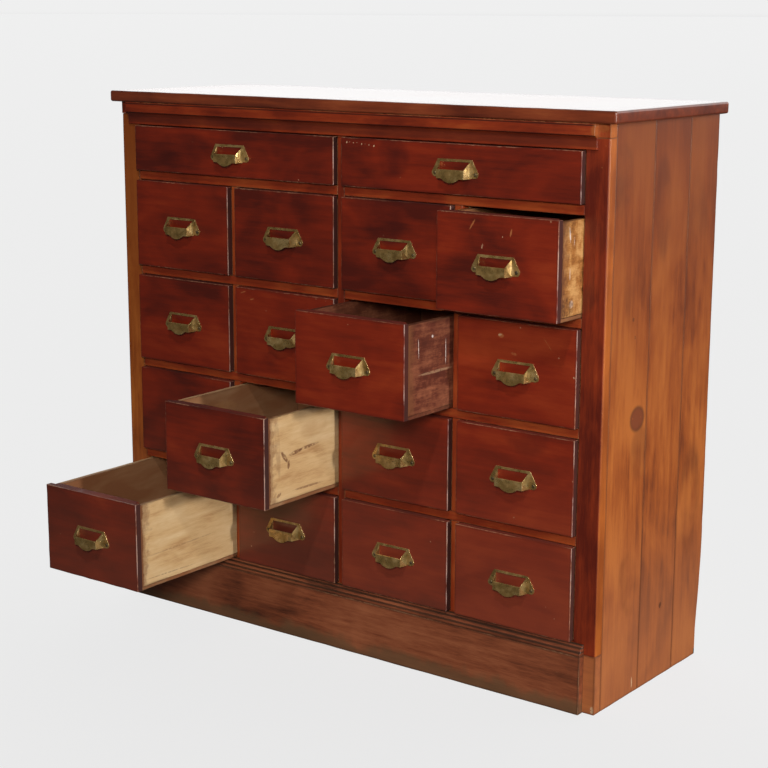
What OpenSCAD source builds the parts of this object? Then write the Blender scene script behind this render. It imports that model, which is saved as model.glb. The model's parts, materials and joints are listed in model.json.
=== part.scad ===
// Apothecary cabinet: a pine case behind a stained face frame, with two wide drawers
// over a grid of sixteen small ones, and a brass label pull screwed to every drawer.
// Millimetres, +Z up. The origin is the middle of the back at floor level, and the
// drawers slide out towards -Y. Four of the small drawers stand part open.

/* [Case] */
// Width over the side boards
case_w = 1140; // [900:10:1500]
// Depth from the back to the front of the face frame
case_d = 398; // [320:2:520]
// Height under the top board
case_h = 1042; // [850:2:1300]
// Thickness of the side boards
side_t = 20; // [14:1:26]
// Thickness of the back boards
back_t = 10; // [6:1:16]
// Number of boards side by side in the back
back_boards_n = 7; // [5:2:11]
// Thickness of the bottom board
floor_t = 18; // [12:1:24]

/* [Top board] */
// Thickness of the top board
top_t = 22; // [16:1:32]
// Overhang of the top board at each side
top_over_side = 18; // [0:1:40]
// Overhang of the top board at the front
top_over_front = 15; // [14:1:40]

/* [Face frame] */
// Thickness of the frame pieces
frame_t = 22; // [16:1:30]
// Width of each stile
stile_w = 46; // [34:1:70]
// Width of the divider between two columns
muntin_w = 16; // [12:1:26]
// Height of the rail between two rows
rail_h = 18; // [14:1:26]
// Height of the long rail over the stiles
frieze_h = 24; // [16:1:40]
// Height of the rail over the wide drawers
head_h = 21; // [14:1:40]
// Height of the long rail under the stiles
base_h = 109; // [70:1:160]
// Height of the rail under the lowest drawers
sill_h = 20; // [14:1:30]
// Chamfer along the outer corner of each stile
stile_chamfer = 2.5; // [0.5:0.5:6]

/* [Mouldings] */
// Distance of the mouldings' ends from the corners of the case
moulding_inset = 23; // [0:1:40]
// Thickness of the plinth board
plinth_t = 16; // [10:1:22]
// Projection of the cornice
cornice_p = 13; // [10:1:14]

/* [Drawers] */
// Height of the opening of a wide drawer
wide_open_h = 92; // [70:1:130]
// Gap round a drawer front in its opening
front_gap = 1; // [0.5:0.25:2]
// How far a closed drawer's front stands out of the frame
front_proud = 11.5; // [4:0.5:16]
// Thickness of a drawer front
front_t = 22; // [18:1:28]
// Thickness of the front where the sides lap into it
front_lap = 13; // [8:1:16]
// How far the front stands above the drawer's sides
front_rise = 4.5; // [0:0.5:8]
// Thickness of the drawer's sides and back
box_t = 12; // [8:1:14]
// Thickness of the drawer's bottom
bottom_t = 7; // [4:1:10]
// How far the sides stand in from the ends of the front
box_inset = 0.5; // [0.5:0.25:2]
// Glue line between two pieces of one drawer
glue_gap = 0.2; // [0.1:0.1:0.5]
// Distance from one open drawer to the next wider open one
open_step = 68; // [0:1:75]

/* [Drawer runners] */
// Width of a runner under a drawer's side
runner_w = 14; // [10:1:20]
// Gap between a drawer and its runners
runner_gap = 0.4; // [0.3:0.1:1]
// Length of the stop block behind a drawer
stop_l = 12; // [8:1:20]
// Height of the stop block
stop_h = 14; // [8:1:20]
// Gap between a closed drawer and its stops
stop_gap = 0.5; // [0.3:0.1:2]
// How far a side guide stands up beside a drawer
guide_h = 22; // [12:1:40]

/* [Pull] */
// Width of the pull's plate along its top
pull_top_w = 73; // [60:1:90]
// Width between the two screws
pull_screw_w = 86; // [76:1:110]
// Height of the plate
pull_h = 33; // [28:1:40]
// Width of the hood's front
hood_w = 58; // [46:1:66]
// Projection of the hood from the drawer front
hood_p = 17; // [14:1:24]
// Thickness of the brass
brass_t = 1.2; // [1:0.1:2]
// Height of the plate's top above the middle of the drawer front
pull_rise = 18; // [0:1:24]
// Radius of the pull's screws
screw_r = 1.5; // [1.25:0.25:2]

/* [Hidden] */
cols = 4;
rows = 4;
$fn = 48;

case_half = case_w / 2;
frame_back = -(case_d - frame_t);
frame_front = -case_d;
inside_back = -back_t;
stile_z = [base_h, case_h - frieze_h];
open_z0 = base_h + sill_h;
open_z1 = case_h - frieze_h - head_h;
col_w = (case_w - 2 * stile_w - (cols - 1) * muntin_w) / cols;
small_open_h = (open_z1 - open_z0 - wide_open_h - rows * rail_h) / rows;
half_w = 2 * col_w + muntin_w;

// Left side of a column's opening, column 1 on the left
function col_x(c) = -case_half + stile_w + (c - 1) * (col_w + muntin_w);
// Bottom of a row's opening: row 0 is the wide row at the top, row 4 is the lowest
function row_z(r) = open_z0 + (rows - r) * (small_open_h + rail_h);

front_y = frame_front - front_proud;
drawer_y = inside_back - stop_l - stop_gap;
drawer_len = drawer_y - front_y;
runner_lift = front_gap - runner_gap;

// Steps that a drawer stands open: a diagonal of the grid, widest at the bottom left
function open_steps(r, c) = r + c == cols + 1 ? r : 0;
function open_by(r, c) = open_steps(r, c) * open_step;

side_joints = [0.36, 0.71];
board_gap = 0.4;
chamfer_turn = 45;

// Cornice profile, and the plinth cap as steps of projection and height from below
fascia_h = 20.5;
cove_r = 8;
cornice_h = 44;
bead_p = 5;
cap_steps = [[16, 7], [11, 7], [6, 6]];
function cap_foot(i) = i == 0 ? 0 : cap_foot(i - 1) + cap_steps[i - 1][1];

pull_ear_r = 6.5;
pull_ear_z = -25.5;
pull_window_top = -4.5;
hood_rear_w = pull_top_w - 6;
hood_top = -18.5;
hood_rear_top = -3;
hood_bottom = -33.5;
lobe_z = -41;
lobe_r = 26;
ogee_r = 9;
screw_l = 14;
screw_play = 0.1;
head_r = 3.4;
head_h_screw = 1.3;
slot_w = 0.8;
slot_d = 0.6;

brown = "sienna";
stain = [0.42, 0.12, 0.07];
pine = [0.63, 0.35, 0.17];
raw = [0.8, 0.65, 0.45];
brass = [0.62, 0.5, 0.24];

case_nodes = [
    "top_board", "cornice", "frieze_rail", "head_rail", "sill_rail", "base_rail",
    "plinth_board", "plinth_cap", "stile_left", "stile_right", "centre_muntin",
    "short_muntins", "drawer_rails", "side_boards_left", "side_boards_right",
    "back_boards", "bottom_board", "centre_partition", "partition_left",
    "partition_right", "drawer_runners", "side_guides", "drawer_stops", "top_cleats"
];
function small_name(what, r, c) = str(what, "_row", r, "_col", c);
small_nodes = [for (what = ["drawer", "pull"]) for (r = [1 : rows]) for (c = [1 : cols])
    small_name(what, r, c)];
wide_nodes = ["drawer_wide_left", "drawer_wide_right", "pull_wide_left", "pull_wide_right"];

// A box given by its limits along each axis
module slab(x, y, z) {
    translate([x[0], y[0], z[0]])
        cube([x[1] - x[0], y[1] - y[0], z[1] - z[0]]);
}

// A strip of moulding along the front: its profile is drawn outwards and upwards
module moulding(z) {
    length = case_w - 2 * moulding_inset;
    translate([-length / 2, frame_front, z])
        rotate([90, 0, 90])
            mirror([1, 0])
                linear_extrude(length)
                    children();
}

// ---- Case ----

module top_board() {
    color(brown)
        slab([-case_half - top_over_side, case_half + top_over_side],
             [frame_front - top_over_front, 0],
             [case_h, case_h + top_t]);
}

module cornice() {
    color(stain)
        moulding(case_h - cornice_h)
            difference() {
                union() {
                    translate([0, cornice_h - fascia_h])
                        square([cornice_p, fascia_h]);
                    square([bead_p, cornice_h]);
                    translate([0, cornice_h - fascia_h - cove_r])
                        square([cornice_p - 1, cove_r]);
                }
                translate([cornice_p, cornice_h - fascia_h - cove_r])
                    circle(cove_r);
            }
}

module frieze_rail() {
    color(stain)
        slab([-case_half, case_half], [frame_front, frame_back], [stile_z[1], case_h]);
}

module inner_rail(z) {
    slab([-case_half + stile_w, case_half - stile_w], [frame_front, frame_back], z);
}

module head_rail() {
    color(stain)
        inner_rail([open_z1, open_z1 + head_h]);
}

module sill_rail() {
    color(stain)
        inner_rail([base_h, open_z0]);
}

module base_rail() {
    color(brown)
        slab([-case_half, case_half], [frame_front, frame_back], [0, base_h]);
}

module plinth_board() {
    color(brown)
        slab([-case_half + moulding_inset, case_half - moulding_inset],
             [frame_front - plinth_t, frame_front], [0, base_h]);
}

module plinth_cap() {
    color(stain)
        moulding(base_h)
            for (i = [0 : len(cap_steps) - 1])
                translate([0, cap_foot(i)])
                    square(cap_steps[i]);
}

// A stile with its outer corner at x, the frame's inside lying along dir
module stile(x, dir) {
    difference() {
        slab([min(x, x + dir * stile_w), max(x, x + dir * stile_w)],
             [frame_front, frame_back], stile_z);
        translate([x, frame_front, stile_z[0] - 1])
            rotate([0, 0, chamfer_turn])
                translate([-stile_chamfer / sqrt(2), -stile_chamfer / sqrt(2), 0])
                    cube([stile_chamfer * sqrt(2), stile_chamfer * sqrt(2),
                          stile_z[1] - stile_z[0] + 2]);
    }
}

module stile_left() {
    color(pine)
        stile(-case_half, 1);
}

module stile_right() {
    color(stain)
        stile(case_half, -1);
}

module centre_muntin() {
    color(stain)
        slab([col_x(3) - muntin_w, col_x(3)], [frame_front, frame_back], [open_z0, open_z1]);
}

// Dividers between columns 1 and 2, and 3 and 4, one in each small row
module short_muntins() {
    color(stain)
        for (c = [2, 4])
            for (r = [1 : rows])
                slab([col_x(c) - muntin_w, col_x(c)], [frame_front, frame_back],
                     [row_z(r), row_z(r) + small_open_h]);
}

// Rails under the wide row and under each small row but the lowest
module drawer_rails() {
    color(stain)
        for (x = [col_x(1), col_x(3)])
            for (r = [0 : rows - 1])
                slab([x, x + half_w], [frame_front, frame_back], [row_z(r) - rail_h, row_z(r)]);
}

// Three upright boards for one side of the case, its outer face at x
module side_boards(x, dir) {
    depth = -frame_back;
    edges = concat([0], side_joints * depth, [depth]);
    for (i = [0 : len(edges) - 2])
        slab([min(x, x + dir * side_t), max(x, x + dir * side_t)],
             [frame_back + edges[i], frame_back + edges[i + 1]
                 - (i < len(edges) - 2 ? board_gap : 0)],
             [0, case_h]);
}

module side_boards_left() {
    color(pine)
        side_boards(-case_half, 1);
}

module side_boards_right() {
    color(pine)
        side_boards(case_half, -1);
}

module back_boards() {
    width = (case_w - 2 * side_t) / back_boards_n;
    color(raw)
        for (i = [0 : back_boards_n - 1])
            translate([-case_half + side_t + i * width, 0, 0])
                slab([board_gap / 2, width - board_gap / 2], [inside_back, 0], [0, case_h]);
}

module bottom_board() {
    color(raw)
        slab([-case_half + side_t, case_half - side_t], [frame_back, inside_back],
             [open_z0 + runner_lift - floor_t, open_z0 + runner_lift]);
}

// An upright panel behind the divider on the left of column c
module partition(c, top) {
    color(raw)
        slab([col_x(c) - muntin_w, col_x(c)], [frame_back, inside_back],
             [open_z0 + runner_lift, top]);
}

module centre_partition() {
    partition(3, case_h);
}

module partition_left() {
    partition(2, row_z(0));
}

module partition_right() {
    partition(4, row_z(0));
}

// Strips under the drawers' sides, which also keep the drawers below from tipping
module drawer_runners() {
    color(raw)
        for (r = [0 : rows - 1])
            for (c = [1 : cols])
                for (x = [col_x(c), col_x(c) + col_w - runner_w])
                    slab([x, x + runner_w], [frame_back, inside_back],
                         [row_z(r) - rail_h + runner_lift, row_z(r) + runner_lift]);
}

// Strips behind the stiles that keep the outer drawers straight
module side_guides() {
    color(raw)
        for (r = [0 : rows])
            for (side = [-1, 1]) {
                outer = side * (case_half - side_t);
                inner = side * (case_half - stile_w);
                foot = r == rows ? runner_lift : runner_lift - rail_h;
                slab([min(outer, inner), max(outer, inner)], [frame_back, inside_back],
                     [row_z(r) + foot, row_z(r) + guide_h]);
            }
}

// A stop block behind each lower corner of a drawer
module stop_pair(x, w, z) {
    for (sx = [x, x + w - runner_w])
        slab([sx, sx + runner_w], [inside_back - stop_l, inside_back],
             [z + runner_lift, z + runner_lift + stop_h]);
}

module drawer_stops() {
    color(raw) {
        for (x = [col_x(1), col_x(3)])
            stop_pair(x, half_w, row_z(0));
        for (r = [1 : rows])
            for (c = [1 : cols])
                stop_pair(col_x(c), col_w, row_z(r));
    }
}

// Battens inside the side boards that the top is screwed down to
module top_cleats() {
    color(raw)
        for (side = [-1, 1])
            slab([min(side * (case_half - side_t), side * (case_half - stile_w)),
                  max(side * (case_half - side_t), side * (case_half - stile_w))],
                 [frame_back, inside_back], [case_h - frieze_h, case_h]);
}

// ---- Drawers ----

// One drawer, its front's lower left corner at the origin and its back along +Y
module drawer(w, h) {
    box_x = [box_inset, w - box_inset];
    box_z = [bottom_t + glue_gap, h - front_rise];
    side_y = [front_lap + glue_gap, drawer_len];
    rebate = box_inset + box_t + glue_gap;
    color(stain)
        difference() {
            slab([0, w], [0, front_t], [0, h]);
            slab([-1, rebate], [front_lap, front_t + 1], [-1, h + 1]);
            slab([w - rebate, w + 1], [front_lap, front_t + 1], [-1, h + 1]);
            slab([-1, w + 1], [front_lap, front_t + 1], [-1, bottom_t + glue_gap]);
            for (side = [-1, 1])
                translate([w / 2 + side * pull_screw_w / 2, -1, h / 2 + pull_rise + pull_ear_z])
                    rotate([-90, 0, 0])
                        cylinder(h = screw_l + 2, r = screw_r + screw_play);
        }
    color(raw) {
        slab([box_x[0], box_x[0] + box_t], side_y, box_z);
        slab([box_x[1] - box_t, box_x[1]], side_y, box_z);
        slab([box_x[0] + box_t + glue_gap, box_x[1] - box_t - glue_gap],
             [drawer_len - box_t, drawer_len], box_z);
        slab(box_x, side_y, [0, bottom_t]);
    }
}

module place_small(r, c) {
    translate([col_x(c) + front_gap, front_y - open_by(r, c), row_z(r) + front_gap])
        children();
}

module place_wide(c) {
    translate([col_x(c) + front_gap, front_y, row_z(0) + front_gap])
        children();
}

small_w = col_w - 2 * front_gap;
small_h = small_open_h - 2 * front_gap;
wide_w = half_w - 2 * front_gap;
wide_h = wide_open_h - 2 * front_gap;

// ---- Pulls ----

// Points along an arc from angle a0 to a1
function arc(centre, r, a0, a1, n = 8) =
    [for (i = [0 : n]) let (a = a0 + (a1 - a0) * i / n) centre + r * [cos(a), sin(a)]];
// A half outline and its mirror image, as one closed outline
function both_sides(half) =
    concat(half, [for (i = [len(half) - 1 : -1 : 0]) [-half[i][0], half[i][1]]]);

// Outline of the plate that lies on the drawer front, with a rounded ear for each screw
module plate_outline() {
    ear = [pull_screw_w / 2, pull_ear_z];
    to_corner = [pull_top_w / 2, 0] - ear;
    leave = atan2(to_corner[1], to_corner[0]) - acos(pull_ear_r / norm(to_corner));
    window_w = hood_rear_w - brass_t;
    difference() {
        polygon(both_sides(concat([[pull_top_w / 2, 0]], arc(ear, pull_ear_r, leave, -90))));
        translate([-window_w / 2, -pull_h - 1])
            square([window_w, pull_h + 1 + pull_window_top]);
        for (side = [-1, 1])
            translate([side * ear[0], ear[1]])
                circle(screw_r + screw_play);
    }
}

// Outline of the hood's front, with a lobe in the middle of its lower edge
module hood_outline() {
    lobe = [0, lobe_z + lobe_r];
    ogee_y = hood_bottom - ogee_r;
    ogee_x = sqrt(pow(lobe_r + ogee_r, 2) - pow(lobe[1] - ogee_y, 2));
    meet = atan2(lobe[1] - ogee_y, -ogee_x);
    polygon(both_sides(concat(
        [[hood_w / 2, hood_top], [hood_w / 2, hood_bottom]],
        arc([ogee_x, ogee_y], ogee_r, 90, meet, 6),
        arc(lobe, lobe_r, meet - 180, -89)
    )));
}

// Plan of the hood: its two cheeks run in from the plate to the front
module hood_plan() {
    wall = brass_t * norm([(hood_rear_w - hood_w) / 2, hood_p]) / hood_p;
    rear = hood_rear_w / 2;
    front = hood_w / 2;
    difference() {
        polygon([[-rear, 0], [rear, 0], [front, -hood_p], [-front, -hood_p]]);
        polygon([[-rear + wall, 0.1], [rear - wall, 0.1],
                 [front - wall, -hood_p + brass_t], [-front + wall, -hood_p + brass_t]]);
    }
}

// The hood, its top sloping down from the plate to the edge of its front
module hood() {
    slope = (hood_rear_top - hood_top) / hood_p;
    intersection() {
        translate([0, 0, hood_bottom])
            linear_extrude(-hood_bottom)
                hood_plan();
        translate([-hood_rear_w, 0, 0])
            rotate([90, 0, 90])
                linear_extrude(2 * hood_rear_w)
                    polygon([
                        [1, hood_bottom - 1], [1, hood_rear_top + slope],
                        [-hood_p - 1, hood_top - slope], [-hood_p - 1, hood_bottom - 1]
                    ]);
    }
    translate([0, -hood_p + brass_t, 0])
        rotate([90, 0, 0])
            linear_extrude(brass_t)
                hood_outline();
}

// The pull and its two screws, with the plate's top middle at the origin
module pull() {
    color(brass) {
        union() {
            rotate([90, 0, 0])
                linear_extrude(brass_t)
                    plate_outline();
            hood();
        }
        for (side = [-1, 1])
            translate([side * pull_screw_w / 2, -brass_t - screw_play, pull_ear_z])
                rotate([-90, 0, 0])
                    screw();
    }
}

// A slotted wood screw with its head's underside at the origin, driven along +Z
module screw() {
    difference() {
        union() {
            translate([0, 0, -head_h_screw])
                cylinder(h = head_h_screw, r1 = head_r * 0.6, r2 = head_r);
            cylinder(h = screw_l, r = screw_r);
        }
        translate([-head_r, -slot_w / 2, -head_h_screw - 1])
            cube([2 * head_r, slot_w, slot_d + 1]);
    }
}

module pull_on(w, h) {
    translate([w / 2, 0, h / 2 + pull_rise])
        pull();
}

// ---- Nodes ----

top_board();
cornice();
frieze_rail();
head_rail();
sill_rail();
base_rail();
plinth_board();
plinth_cap();
stile_left();
stile_right();
centre_muntin();
short_muntins();
drawer_rails();
side_boards_left();
side_boards_right();
back_boards();
bottom_board();
centre_partition();
partition_left();
partition_right();
drawer_runners();
side_guides();
drawer_stops();
top_cleats();
place_wide(1) drawer(wide_w, wide_h);  // drawer_wide_left
place_wide(3) drawer(wide_w, wide_h);  // drawer_wide_right
place_wide(1) pull_on(wide_w, wide_h);  // pull_wide_left
place_wide(3) pull_on(wide_w, wide_h);  // pull_wide_right
for (r = [1 : rows])
    for (c = [1 : cols]) {
        place_small(r, c) drawer(small_w, small_h);
        place_small(r, c) pull_on(small_w, small_h);
    }
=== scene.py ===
import json
import math
import random

import bmesh
import bpy
from mathutils import Matrix, Vector, noise

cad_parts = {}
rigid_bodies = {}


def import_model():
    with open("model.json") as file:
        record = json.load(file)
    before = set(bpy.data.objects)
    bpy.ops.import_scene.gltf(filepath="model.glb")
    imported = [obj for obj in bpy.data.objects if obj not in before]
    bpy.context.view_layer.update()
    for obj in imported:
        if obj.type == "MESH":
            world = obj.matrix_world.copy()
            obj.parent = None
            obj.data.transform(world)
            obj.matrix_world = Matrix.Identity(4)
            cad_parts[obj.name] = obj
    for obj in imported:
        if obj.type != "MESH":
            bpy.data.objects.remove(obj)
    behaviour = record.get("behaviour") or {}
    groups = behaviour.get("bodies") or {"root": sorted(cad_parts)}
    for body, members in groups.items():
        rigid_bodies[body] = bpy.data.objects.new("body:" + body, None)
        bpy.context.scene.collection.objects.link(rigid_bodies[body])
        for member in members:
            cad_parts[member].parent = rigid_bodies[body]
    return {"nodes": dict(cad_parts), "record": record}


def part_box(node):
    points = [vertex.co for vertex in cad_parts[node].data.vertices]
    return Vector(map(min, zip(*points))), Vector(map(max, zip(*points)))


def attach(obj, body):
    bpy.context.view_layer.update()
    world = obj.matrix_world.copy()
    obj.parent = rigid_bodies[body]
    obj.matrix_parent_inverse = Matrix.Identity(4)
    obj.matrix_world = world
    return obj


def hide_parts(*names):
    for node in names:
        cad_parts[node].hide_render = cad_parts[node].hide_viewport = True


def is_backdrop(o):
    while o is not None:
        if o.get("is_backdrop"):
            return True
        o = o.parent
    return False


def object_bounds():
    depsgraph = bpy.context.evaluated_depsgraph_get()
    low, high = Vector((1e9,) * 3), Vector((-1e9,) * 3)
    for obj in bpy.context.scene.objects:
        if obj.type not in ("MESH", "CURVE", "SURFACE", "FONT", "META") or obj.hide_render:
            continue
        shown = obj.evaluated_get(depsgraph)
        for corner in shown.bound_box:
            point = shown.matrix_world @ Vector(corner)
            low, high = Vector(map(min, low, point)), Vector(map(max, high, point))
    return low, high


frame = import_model()
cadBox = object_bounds()
bodyOf = {n: body for body, names in frame["record"]["behaviour"]["bodies"].items() for n in names}
chance = random.Random(18)
mm = 0.001

cameraLook = {
    "place": (2.0081, -2.9222, 1.2234),
    "pitch": -12.17,  # degrees, down from level
    "yaw": 37.06,  # degrees to the left of straight back
    "roll": 0.16,
    "lens": 81.12,  # mm, on a sensor 36 mm wide
    "sensor": 36.0,
}


def makeCamera(look):
    data = bpy.data.cameras.new("camera")
    data.lens = look["lens"]
    data.sensor_width = look["sensor"]
    camera = bpy.data.objects.new("camera", data)
    turn = Matrix.Rotation(math.radians(look["yaw"]), 4, "Z")
    turn = turn @ Matrix.Rotation(math.radians(90 + look["pitch"]), 4, "X")
    turn = turn @ Matrix.Rotation(math.radians(look["roll"]), 4, "Z")
    camera.matrix_world = Matrix.Translation(look["place"]) @ turn
    bpy.context.scene.collection.objects.link(camera)
    bpy.context.scene.camera = camera


lampLooks = {  # each lamp: where its light comes from, how far off it is, its width and its power
    "frontLamp": {"side": (0.55, -0.78, 0.31), "away": 4.2, "width": 0.9, "watts": 88},
    "sideLamp": {"side": (0.985, -0.11, 0.13), "away": 4.5, "width": 0.3, "watts": 98},
    "topLamp": {"side": (0.33, -0.57, 0.76), "away": 4.5, "width": 0.25, "watts": 48},
}
lampTint = (1.0, 0.97, 0.93)


def makeLamps(looks, middle):
    lit = bpy.data.collections.new("lit")
    for piece in bpy.context.scene.objects:
        if piece.type == "MESH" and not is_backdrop(piece):
            lit.objects.link(piece)
    for name, look in looks.items():
        data = bpy.data.lights.new(name, "AREA")
        data.shape = "DISK"
        data.size = look["width"]
        data.energy = look["watts"]
        data.color = lampTint
        lamp = bpy.data.objects.new(name, data)
        side = Vector(look["side"]).normalized()
        lamp.location = middle + side * look["away"]
        lamp.rotation_mode = "QUATERNION"
        lamp.rotation_quaternion = side.to_track_quat("Z", "Y")
        bpy.context.scene.collection.objects.link(lamp)
        lamp.light_linking.receiver_collection = lit  # the floor keeps an even tone


class Value:
    # a socket that can stand in a sum, so that value * 2 + 1 adds its own Math nodes
    def __init__(self, shader, socket):
        self.shader = shader
        self.socket = socket

    def __add__(self, other):
        return self.shader.maths("ADD", self, other)

    def __sub__(self, other):
        return self.shader.maths("SUBTRACT", self, other)

    def __rsub__(self, other):
        return self.shader.maths("SUBTRACT", other, self)

    def __mul__(self, other):
        return self.shader.maths("MULTIPLY", self, other)

    def __truediv__(self, other):
        return self.shader.maths("DIVIDE", self, other)

    def __pow__(self, other):
        return self.shader.maths("POWER", self, other)

    __radd__ = __add__
    __rmul__ = __mul__


class Shader:
    def __init__(self, name, owner=None):
        self.material = owner or bpy.data.materials.new(name)
        self.material.use_nodes = True
        self.tree = self.material.node_tree
        self.tree.nodes.clear()

    def add(self, kind, settings=None, inputs=None, output=0):
        node = self.tree.nodes.new(kind)
        for key, setting in (settings or {}).items():
            if key == "stops":
                stops = node.color_ramp.elements
                while len(stops) < len(setting):
                    stops.new(1.0)
                for stop, (place, colour) in zip(stops, setting):
                    stop.position = place
                    stop.color = (*colour, 1.0)
            else:
                setattr(node, key, setting)
        for key, given in (inputs or {}).items():
            if isinstance(given, Value):
                self.tree.links.new(given.socket, node.inputs[key])
            else:
                node.inputs[key].default_value = given
        return Value(self, node.outputs[output]) if node.outputs else None

    def maths(self, operation, first, second=0.0, clamp=False):
        return self.add("ShaderNodeMath", {"operation": operation, "use_clamp": clamp}, {0: first, 1: second})

    def least(self, first, second):
        return self.maths("MINIMUM", first, second)

    def most(self, first, second):
        return self.maths("MAXIMUM", first, second)

    def fade(self, value, low, high):  # 0 at low, 1 at high, smooth between them
        settings = {"interpolation_type": "SMOOTHSTEP"}
        return self.add("ShaderNodeMapRange", settings, {"Value": value, "From Min": low, "From Max": high})

    def place(self):
        return self.add("ShaderNodeTexCoord", output="Object")

    def own(self, name, output="Fac"):
        return self.add("ShaderNodeAttribute", {"attribute_name": name}, output=output)

    def parts(self, vector):
        split = self.add("ShaderNodeSeparateXYZ", None, {0: vector})
        return [Value(self, out) for out in split.socket.node.outputs]

    def stretch(self, vector, sizes):
        return self.add("ShaderNodeVectorMath", {"operation": "MULTIPLY"}, {0: vector, 1: sizes})

    def cloud(self, vector, scale, detail=3.0, rough=0.5, bend=0.0):
        inputs = {"Vector": vector, "Scale": scale, "Detail": detail, "Roughness": rough, "Distortion": bend}
        return self.add("ShaderNodeTexNoise", None, inputs)

    def cells(self, vector, scale, output="Distance"):
        return self.add("ShaderNodeTexVoronoi", None, {"Vector": vector, "Scale": scale}, output)

    def ramp(self, value, stops):
        return self.add("ShaderNodeValToRGB", {"stops": stops}, {0: value})

    def mix(self, share, first, second, blend="MIX"):
        plain = [c if isinstance(c, Value) else (*c, 1.0) for c in (first, second)]
        settings = {"data_type": "RGBA", "blend_type": blend}
        return self.add("ShaderNodeMix", settings, {0: share, 6: plain[0], 7: plain[1]}, 2)

    def bump(self, height, strength, depth):
        return self.add("ShaderNodeBump", None, {"Height": height, "Strength": strength, "Distance": depth})

    def finish(self, inputs):
        body = self.add("ShaderNodeBsdfPrincipled", None, inputs)
        self.add("ShaderNodeOutputMaterial", None, {0: body})
        return self.material


def edgeDistance(s):
    # metres to the nearest arris, from how far the point is from the board's six faces
    low = s.parts(s.own("low", "Vector"))
    high = s.parts(s.own("high", "Vector"))
    x, y, z = [s.least(a, b) for a, b in zip(low, high)]
    return s.most(s.least(x, y), s.least(s.most(x, y), z))


def blot(s, across, up, look):
    # 1 inside a slanted oval, 0 outside it
    turn = math.radians(look["slant"])
    dx, dz = across - look["at"][0] * mm, up - look["at"][1] * mm
    u = (dx * math.cos(turn) + dz * math.sin(turn)) * (1 / (look["size"][0] * mm))
    v = (dz * math.cos(turn) - dx * math.sin(turn)) * (1 / (look["size"][1] * mm))
    return 1 - s.fade(u * u + v * v, 0.4, 1.0)


figureLook = {  # how far the clouds, the lines and the pores are drawn out along the grain
    "cloudStretch": (1, 1.7, 1.7), "lineStretch": (1, 14, 14), "poreStretch": (1, 20, 20), "poreScale": 55,
}


def woodFigure(s, look):
    # clouds of stain, lines along the grain and fine pores, about one half in the middle
    grain = s.own("grain", "Vector")
    cloudStretch = look.get("cloudStretch", figureLook["cloudStretch"])
    clouds = s.cloud(s.stretch(grain, cloudStretch), look["cloudScale"], 3, 0.55, 0.5)
    lines = s.cloud(s.stretch(grain, figureLook["lineStretch"]), look["lineScale"], 5, 0.6, 0.25)
    pores = s.cloud(s.stretch(grain, figureLook["poreStretch"]), figureLook["poreScale"], 2, 0.6)
    shade = (clouds - 0.5) * look["cloudy"] + (lines - 0.5) * look["lined"] + (pores - 0.5) * look["pored"]
    return shade + s.own("tone") * look["toneSpread"] + 0.5, clouds, lines, pores


def mark(on, at, size, slant, share, colour, rag=160, whole=0.55):
    # the face it is on, its middle and half size in mm, its slant in degrees, its strength and its colour,
    # then how finely its edge is torn and how much of it is whole
    return {"on": on, "at": at, "size": size, "slant": slant, "share": share, "colour": colour,
            "rag": rag, "whole": whole}


def markedWith(s, colour, place, marks):
    # scratches, knots and stains, each a slanted oval seen from the front or from the side
    x, y, z = s.parts(place)
    clouds = {}
    for each in marks:
        scale = each["rag"]
        if scale not in clouds:
            clouds[scale] = s.cloud(place, scale, 3, 0.6)
        across = y if each["on"] == "side" else x
        share = blot(s, across, z, each) * s.fade(clouds[scale], 0.30, each["whole"])
        colour = s.mix(share * each["share"], colour, each["colour"])
    return colour


def nearEdge(s, distance, reach):
    # 1 at an edge, 0 far from it, from where the fade starts and where it ends, in mm
    return 1 - s.fade(distance, reach[0] * mm, reach[1] * mm)


endLook = {  # the ends, the arrises and the top of a drawer front, in mm from an edge
    "face": (0.8, 2.2), "end": (0.3, 1.0), "endShare": 0.85,
    # the glint keys: a painted highlight along the right arris of each front, broken up by a cloud
    "rubbedSide": (0.5, 1.6), "rubbedFace": (0.9, 2.2), "rubbedShare": 0.75,
    # top and topShare: the top face of each front painted darker, as shade
    "rubScale": 26, "rubbed": (0.40, 0.58), "top": (0.3, 1.0), "topShare": 0.3,
}


def frontEnds(s, colour, look):
    # dark end grain, a painted highlight on the right arris, a top painted darker as shade and dulled, and
    # how dull each point is
    low = s.parts(s.own("low", "Vector"))
    high = s.parts(s.own("high", "Vector"))
    behindFace = 1 - nearEdge(s, low[1], endLook["face"])
    ends = nearEdge(s, s.least(low[0], high[0]), endLook["end"]) * behindFace
    colour = s.mix(ends * endLook["endShare"], colour, look["end"])
    # painted highlight: the right front arris turned pale, as a glint of light along it
    rubbed = nearEdge(s, high[0], endLook["rubbedSide"]) * nearEdge(s, low[1], endLook["rubbedFace"])
    rubbed = rubbed * s.fade(s.cloud(s.place(), endLook["rubScale"], 3), *endLook["rubbed"])
    colour = s.mix(rubbed * endLook["rubbedShare"], colour, look["arris"])
    # painted shade: the top face of each front turned darker towards the end colour
    shadedTops = nearEdge(s, high[2], endLook["top"]) * behindFace
    colour = s.mix(shadedTops * endLook["topShare"], colour, look["end"])
    return colour, s.most(shadedTops, ends)


def shadeAndDirtBand(s, colour, look):
    # a darker band at a height above the piece's foot: painted shade in the cornice's cove, and dirt near the
    # floor on the plinth
    ragged = (s.cloud(s.place(), look["bandRag"], 4, 0.6) - 0.5) * (look["bandRough"] * mm)
    rise = s.parts(s.own("low", "Vector"))[2] + ragged
    band = (1 - nearEdge(s, rise, look["bandFoot"])) * nearEdge(s, rise, look["bandHead"])
    return s.mix(band * look["bandShare"], colour, look["band"])


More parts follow.
